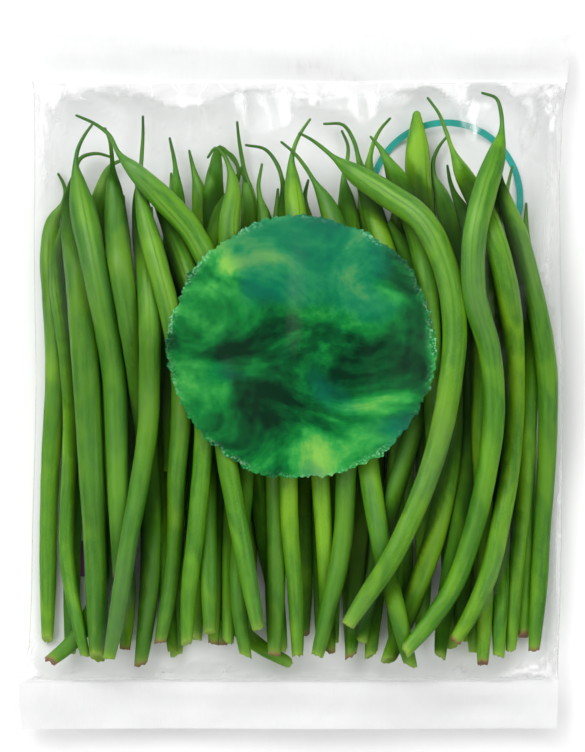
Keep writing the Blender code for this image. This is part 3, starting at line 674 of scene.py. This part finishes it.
def creases(x, y, free):
    """Soft folds where the film is free: down from the seals, along the sides and out of the corners."""
    head = smoothstep((y - 52 * MM) / (22 * MM)) * smoothstep((CREASE_END - y) / (5 * MM))
    foot = smoothstep((-70 * MM - y) / (8 * MM)) * smoothstep((y + CREASE_END) / (3 * MM))
    right = smoothstep((x - 64 * MM) / (5 * MM)) * smoothstep((76 * MM - x) / (3 * MM))
    left = smoothstep((-66 * MM - x) / (4 * MM)) * smoothstep((x + 74.5 * MM) / (3 * MM))
    sides = (right + left) * smoothstep((84 * MM - np.abs(y)) / (6 * MM))
    lift = 0.9 * MM * head * ridge(x / (9 * MM), y / (46 * MM), 3.1) ** 1.6
    lift += 0.5 * MM * head * ridge(x / (4 * MM) + y / (30 * MM), y / (24 * MM), 8.2) ** 1.6
    lift += 0.7 * MM * foot * ridge(x / (7 * MM), y / (24 * MM), 5.7) ** 1.6
    lift += 0.9 * MM * sides * ridge(x / (4.2 * MM) + y / (90 * MM), y / (40 * MM), 2.2) ** 1.6
    # A wandering fold along each seal.
    for sign, base, seed in ((1, 80.6 * MM, 12.0), (-1, 81.4 * MM, 15.0)):
        wander = base + 1.3 * MM * noise_at(x / (17 * MM), np.zeros_like(x), seed)
        along = 0.35 + 0.65 * smoothstep(noise_at(x / (11 * MM), np.zeros_like(x), seed + 1) + 0.5)
        lift += 0.7 * MM * along * np.exp(-(((sign * y - wander) / (1.7 * MM)) ** 2))
    for corner in FAN_CORNERS:
        far, fan = from_corner(x, y, *corner)
        near = smoothstep((34 * MM - far) / (26 * MM)) * smoothstep(far / (3 * MM))
        lift += 1.1 * MM * near * ridge(fan * 3.4, far / (60 * MM), corner[0]) ** 1.6
    return lift * free


def shards(x, y):
    """Sharp bright creases that fan out of the bag's corners, as painted highlights."""
    most = np.zeros_like(x)
    for corner_x, corner_y, reach in SHARD_CORNERS:
        far, fan = from_corner(x, y, corner_x, corner_y)
        shard = ridge(fan * 4.2, far / (90 * MM), 40 + corner_x, 3.2)
        most = np.maximum(most, shard * smoothstep((reach * MM - far) / (0.6 * reach * MM)))
    return most


class Film:
    """The bag's front and back film as heights on a grid. They meet at the folds and in the two seals."""

    def __init__(self, pods):
        self.x, self.y = film_grid()
        self.inward = np.minimum(self.x - self.x[:, :1], self.x[:, -1:] - self.x)
        self.in_seal = np.abs(self.y) > BAG_HEAD - SEAL_DEPTH - 0.05 * MM
        self.border = self.in_seal.copy()
        self.border[:, [0, -1]] = True
        self.pile = pile_field(pods, 1, POD_COVER)
        self.tops = field_at(around_each(self.pile, 1, np.max), self.x, self.y)
        self.folds, self.front = self.front_heights()
        self.back = self.back_film()

    def front_heights(self):
        """The folds' heights alone, and the front film's heights with them."""
        x, y, border = self.x, self.y, self.border
        front = stretch_over(self.tops, border, edge_heights(x, y), x, y, 500)
        front = eased(front, border, 14)
        free = smoothstep((front - self.tops - 0.3 * MM) / (2.5 * MM)) * 0.85 + 0.15
        folds = np.where(border, 0, creases(x, y, free) * smoothstep(self.inward / (3 * MM)))
        crinkle = 0.10 * MM * noise_at(x / (5 * MM), y / (9 * MM), 4.4) ** 2
        ripple = 0.16 * MM * noise_at(x / (13 * MM), y / (5 * MM), 9.3) * smoothstep(self.inward / (4 * MM))
        return folds, front + folds + np.where(border, 0, crinkle) + np.where(self.in_seal, ripple, 0)

    def back_film(self):
        """The back film's heights, with soft waves where it doesn't lie on the table."""
        back = back_heights(self.x, self.y) + BACK_LIFT
        free = smoothstep((back - 0.6 * MM) / (2 * MM)) * smoothstep(self.inward / (3 * MM))
        waves = 0.5 * MM * free * noise_at(self.x / (8 * MM), self.y / (20 * MM), 1.9)
        return back + np.where(self.border, 0, waves)

    def haze(self):
        """How much each point of the front is veiled, from 0 to 1. Out of the seals the veil is painted
        light.
        """
        x, y = self.x, self.y
        wide = field_at(around_each(around_each(self.pile, 3, np.max), 3, np.mean), x, y)
        over_pod = smoothstep((wide - 1 * MM) / (3 * MM))
        # Painted highlight along the folds.
        haze = FOLD_HAZE * np.clip(self.folds / (1.1 * MM), 0, 1)
        haze = np.maximum(haze, HEAD_HAZE * smoothstep((y - 44 * MM) / (16 * MM)))
        haze = np.maximum(haze, FOOT_HAZE * smoothstep((-70 * MM - y) / (6 * MM)))
        # Painted highlights: bright shards out of the corners.
        haze = np.maximum(haze, SHARD_GLINT * shards(x, y)) * (1 - over_pod)
        # A faint painted sheen, as a pale veil, on the pods that the film lies on.
        lying = smoothstep(1 - (self.front - self.tops) / (0.6 * MM))
        crest = lying * smoothstep((self.tops - 3 * MM) / (3 * MM))
        sheen = smoothstep(noise_at(x / (14 * MM), y / (42 * MM), 51.0) + 0.15)
        haze = np.maximum(haze, CREST_SHEEN * crest * sheen)
        # The empty strip down the right side, paled with painted highlight.
        strip = smoothstep((x - 66 * MM) / (5 * MM)) * smoothstep((86 * MM - np.abs(y)) / (10 * MM))
        strip *= 0.42 + 0.30 * noise_at(x / (3.5 * MM), y / (45 * MM), 31.0)
        haze = np.maximum(haze, strip * (1 - smoothstep((self.tops - 2 * MM) / (3 * MM))))
        # A wavy band along each seal, which is a painted highlight, and the seals themselves.
        for sign, start, sway in ((1, 78.2 * MM, 3.2 * MM), (-1, 82.4 * MM, 1.5 * MM)):
            wavy = start + sway * noise_at(x / (21 * MM), np.zeros_like(x), 21.0 + sign)
            band = smoothstep((sign * y - wavy) / (3.2 * MM)) * (1 - 0.7 * over_pod)
            haze = np.maximum(haze, BORDER_HIGHLIGHT * band)
        sealed = 0.75 + 0.25 * noise_at(x / (30 * MM), y / (6 * MM), 6.6)
        return np.clip(np.where(self.in_seal, sealed, haze), 0, 1)

    def mesh(self, materials):
        """The film's object: two layers, but one in the seals. The second material is the seals'."""
        x, y, in_seal = self.x, self.y, self.in_seal
        rows, columns = x.shape
        upper = np.arange(rows * columns).reshape(rows, columns)
        points = [(x[i, j], y[i, j], self.front[i, j]) for i in range(rows) for j in range(columns)]
        lower = upper.copy()
        has_back = ~in_seal[:, 0]
        has_back[1:] |= ~in_seal[:-1, 0]
        has_back[:-1] |= ~in_seal[1:, 0]
        for i in np.flatnonzero(has_back):
            heights = self.front[i] if in_seal[i, 0] else self.back[i]
            for j in range(1, columns - 1):
                lower[i, j] = len(points)
                points.append((x[i, j], y[i, j], heights[j]))
        faces, kinds = [], []
        for i in range(rows - 1):
            sealed = in_seal[i, 0] and in_seal[i + 1, 0]
            for j in range(columns - 1):
                faces.append((upper[i, j], upper[i, j + 1], upper[i + 1, j + 1], upper[i + 1, j]))
                kinds.append(int(sealed))
                if not sealed and not in_vent(x[i:i + 2, j:j + 2].mean(), y[i:i + 2, j:j + 2].mean()):
                    faces.append((lower[i, j], lower[i + 1, j], lower[i + 1, j + 1], lower[i, j + 1]))
                    kinds.append(0)
        obj = mesh_object("film", points, [tuple(map(int, f)) for f in faces], materials)
        obj.data.polygons.foreach_set("material_index", kinds)
        mark_points(obj.data, "film_haze", self.haze().reshape(-1, 1))
        return obj

    def height_at(self, heights, px, py):
        """The height of the front or the back film at each place."""
        row = np.interp(py, self.y[:, 0], np.arange(len(self.y)))
        i = np.clip(row.astype(int), 0, len(self.y) - 2)
        t = row - i
        low = np.array([np.interp(p, self.x[n], heights[n]) for p, n in zip(px, i)])
        high = np.array([np.interp(p, self.x[n + 1], heights[n + 1]) for p, n in zip(px, i)])
        return low + (high - low) * t


def in_vent(x, y):
    return min(math.hypot(x - vx, y - vy) for vx, vy in VENTS) < VENT_RADIUS


# The print, as thin pieces that follow the film.

def square_print(name, z_at, lift, material):
    """The small patch of ink. z_at gives the film's height at each place."""
    px, py = np.meshgrid(np.linspace(PATCH_LEFT, PATCH_RIGHT, PATCH_COLUMNS),
                         np.linspace(PATCH_FOOT, PATCH_HEAD, PATCH_ROWS))
    px, py = px.ravel(), py.ravel()
    wide = PATCH_COLUMNS
    faces = [(wide * i + j, wide * i + j + 1, wide * (i + 1) + j + 1, wide * (i + 1) + j)
             for i in range(PATCH_ROWS - 1) for j in range(wide - 1)]
    return mesh_object(name, np.column_stack([px, py, z_at(px, py) + lift]), faces, [material])


def round_print(name, centre, inner, outer, sectors, rings, z_at, lift, material):
    """A disc or ring of ink. inner and outer give its two edges at each angle."""
    angle = 2 * math.pi * np.arange(sectors) / sectors
    px, py = [], []
    for share in np.arange(rings + 1) / rings:
        r = inner(angle) * (1 - share) + outer(angle) * share
        px += list(centre[0] + r * np.cos(angle))
        py += list(centre[1] + r * np.sin(angle))
    px, py = np.array(px), np.array(py)
    faces = []
    for k in range(rings):
        for j in range(sectors):
            n = (j + 1) % sectors
            faces.append((k * sectors + j, (k + 1) * sectors + j, (k + 1) * sectors + n, k * sectors + n))
    return mesh_object(name, np.column_stack([px, py, z_at(px, py) + lift]), faces, [material])


def even_edge(radius):
    return lambda angle: np.full_like(angle, radius)


def torn_edge(radius, rough, seed):
    """A radius at each angle, with a ragged edge."""
    def at(angle):
        value = np.zeros_like(angle)
        for scale, share in ((2.5, 0.5), (9, 0.35), (28, 0.4), (70, 0.3)):
            value += share * noise_at(scale * np.cos(angle) + seed, scale * np.sin(angle), seed)
        return radius + rough * value
    return at


# The studio and the camera.

def studio_light():
    """Soft light from all round at a slant, more from the head's side, and little from straight above."""
    world = bpy.data.worlds.new("studio")
    t = Tree(world)
    place = t.add("TexCoord").outputs["Generated"]
    height = t.add("SeparateXYZ", {0: place}).outputs["Z"]
    color = t.ramp(height, [(at, (value, value, value)) for at, value in LIGHT_BAND])
    lean = t.add("VectorMath", {0: place, 1: LIGHT_LEAN}, operation="DOT_PRODUCT").outputs["Value"]
    strength = t.math("MULTIPLY_ADD", lean, STUDIO_LIGHT, STUDIO_LIGHT)
    background = t.add("Background", {"Color": color, "Strength": strength}).outputs[0]
    t.add("OutputWorld", {"Surface": background})
    bpy.context.scene.world = world


def softbox(name, place, size, watts):
    light = bpy.data.lights.new(name, "AREA")
    light.shape = "RECTANGLE"
    light.size, light.size_y = size
    light.energy = watts
    obj = bpy.data.objects.new(name, light)
    obj.location = place
    obj.rotation_euler = (-Vector(place)).to_track_quat("-Z", "Y").to_euler()
    bpy.context.scene.collection.objects.link(obj)


def camera_above():
    """A camera that sees the picture's height at PLANE, straight down."""
    camera = bpy.data.objects.new("camera", bpy.data.cameras.new("camera"))
    camera.data.sensor_fit = "VERTICAL"
    camera.data.sensor_height = SENSOR
    camera.data.lens = SENSOR * CAMERA_DISTANCE / (PICTURE_HEIGHT * PIXEL)
    camera.location = (*CAMERA_PLACE, CAMERA_DISTANCE + PLANE)
    bpy.context.scene.collection.objects.link(camera)
    return camera


# Build.

draw = np.random.default_rng(SEED)
greens = [pod_skin(f"pod_skin_{k + 1}", lean) for k, lean in enumerate((0.1, 0.6, -0.3, 1.0))]
pods, skins = [], []
for name in sorted(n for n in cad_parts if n.startswith("bean_")):
    number = int(name.split("_")[1])
    green = (number - 1) % 4
    obj, line = pod_mesh(name, draw, [greens[green]])
    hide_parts(name)
    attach(obj, "root")
    skins.append(obj)
    pods.append(line)
# Painted shade on what lies deep in the pile.
paint_crevice_shade(skins, pods)

clear = film_shader("bag_film", veil=(0.0, 0.80), veil_color=(0.95, 0.95, 0.95, 1),
                    gloss=(0.0015, 0.16), tint=(0.99, 0.992, 0.992, 1), lines=0.14)
seal = film_shader("bag_seal", veil=(0.60, 0.85), veil_color=(0.865, 0.87, 0.87, 1),
                   gloss=(0.02, 0.20), tint=(0.95, 0.955, 0.955, 1), lines=0.0)
bag = Film(pods)
film = bag.mesh([clear, seal])
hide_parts("film_bag")
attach(film, "root")


def front_z(px, py):
    return bag.height_at(bag.front, px, py)


def back_z(px, py):
    return bag.height_at(bag.back, px, py)


green_wash = wash_ink("green_wash_ink", DISC_CENTRE, DISC_RADIUS)
teal = ink("teal_ink", [(0.3, (0.030, 0.40, 0.34)), (0.7, (0.055, 0.48, 0.41))])
purple = ink("purple_ink", [(0.3, (0.26, 0.075, 0.28)), (0.7, (0.34, 0.105, 0.36))])
disc = round_print("print_disc", DISC_CENTRE, even_edge(DISC_HOLE), torn_edge(DISC_RADIUS, DISC_TEAR, 4.0),
                   480, 34, front_z, DISC_LIFT, green_wash)
ring = round_print("print_ring", RING_CENTRE, even_edge(RING_INNER), even_edge(RING_OUTER),
                   160, 2, back_z, BACK_PRINT_LIFT, teal)
block = square_print("print_patch", back_z, BACK_PRINT_LIFT, purple)
for piece in (disc, ring, block):
    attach(piece, "root")

corners = [(-1, -1), (1, -1), (1, 1), (-1, 1)]
floor = mesh_object("floor", [(FLOOR_HALF * x, FLOOR_HALF * y, FLOOR_Z) for x, y in corners],
                    [(0, 1, 2, 3)], [floor_finish()])

scene = bpy.context.scene
scene.view_settings.view_transform = "Standard"
studio_light()
softbox("key", (-0.8, 1.25, 1.1), (1.1, 1.1), 13)
scene.camera = camera_above()
